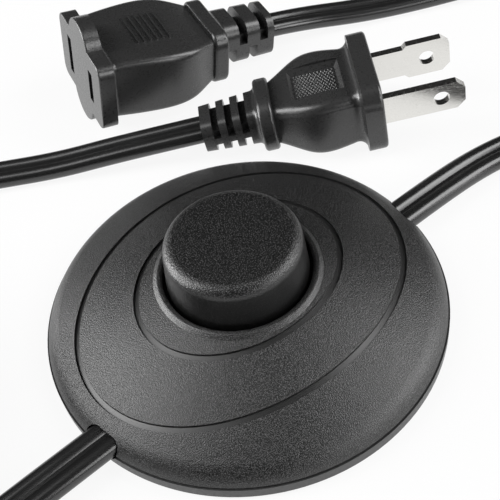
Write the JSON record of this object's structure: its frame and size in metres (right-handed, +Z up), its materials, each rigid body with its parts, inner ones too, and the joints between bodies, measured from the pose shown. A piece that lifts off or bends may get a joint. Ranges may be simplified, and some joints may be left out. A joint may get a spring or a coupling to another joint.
{
  "type": "in-line foot switch",
  "caption": "Round domed foot switch with a push button, on a flat two-core cord that ends in a flat-blade plug and a slotted connector.",
  "frame": {"origin": "middle of the disc's underside, on the surface that it stands on", "axes": "+Z up out of the button, +X along the cord from the plug's side of the disc to the connector's side, +Y away from the cord towards the contacts"},
  "size_m": [0.2643, 0.1195, 0.0233],
  "materials": {
    "dome_plastic": "fine spark-eroded grain",
    "base_plastic": "smooth satin",
    "button_plastic": "grained top, polished edge",
    "cord_pvc": "extruded, glossy",
    "moulded_pvc": "moulded, satin",
    "nickel_plate": "bright nickel plate on brass",
    "contact_brass": "stamped",
    "zinc_steel": "zinc plate",
    "rotor_plastic": "natural acetal",
    "core_insulation": "extruded",
    "tie_band": "plain"
  },
  "bodies": {
    "housing": {"upper_housing": "dome_plastic", "base_cover": "base_plastic", "return_spring": "zinc_steel", "line_contact": "contact_brass", "load_contact": "contact_brass", "housing_screws": "zinc_steel", "contact_screws": "zinc_steel", "clamp_screws": "zinc_steel", "line_cord_clamp": "zinc_steel", "load_cord_clamp": "zinc_steel", "line_core": "core_insulation", "load_core": "core_insulation", "neutral_core": "core_insulation", "line_cord": "cord_pvc", "line_cord_coil": "cord_pvc", "coil_tie": "tie_band", "plug_cord": "cord_pvc", "load_cord": "cord_pvc", "plug_body": "moulded_pvc", "plug_line_blade": "nickel_plate", "plug_neutral_blade": "nickel_plate", "connector_body": "moulded_pvc", "connector_line_contact": "contact_brass", "connector_neutral_contact": "contact_brass"},
    "button": {"push_button": "button_plastic"},
    "rotor": {"cam_rotor": "rotor_plastic", "bridge_contact": "contact_brass"}
  },
  "joints": [
    {"name": "button_press", "type": "slide", "parent": "housing", "child": "button", "axis": [0, 0, -1], "range_m": [0, 0.0035], "stiffness_N_per_m": 1000, "springref_m": -0.004, "deforming": ["return_spring"]},
    {"name": "rotor_turn", "type": "hinge", "parent": "housing", "child": "rotor", "pos_m": [0, 0, 0.004], "axis": [0, 0, 1], "range_deg": [0, 45]}
  ],
  "couplings": [
    {"joint": "rotor_turn", "follows": "button_press", "rad_per_m": 224.39}
  ]
}
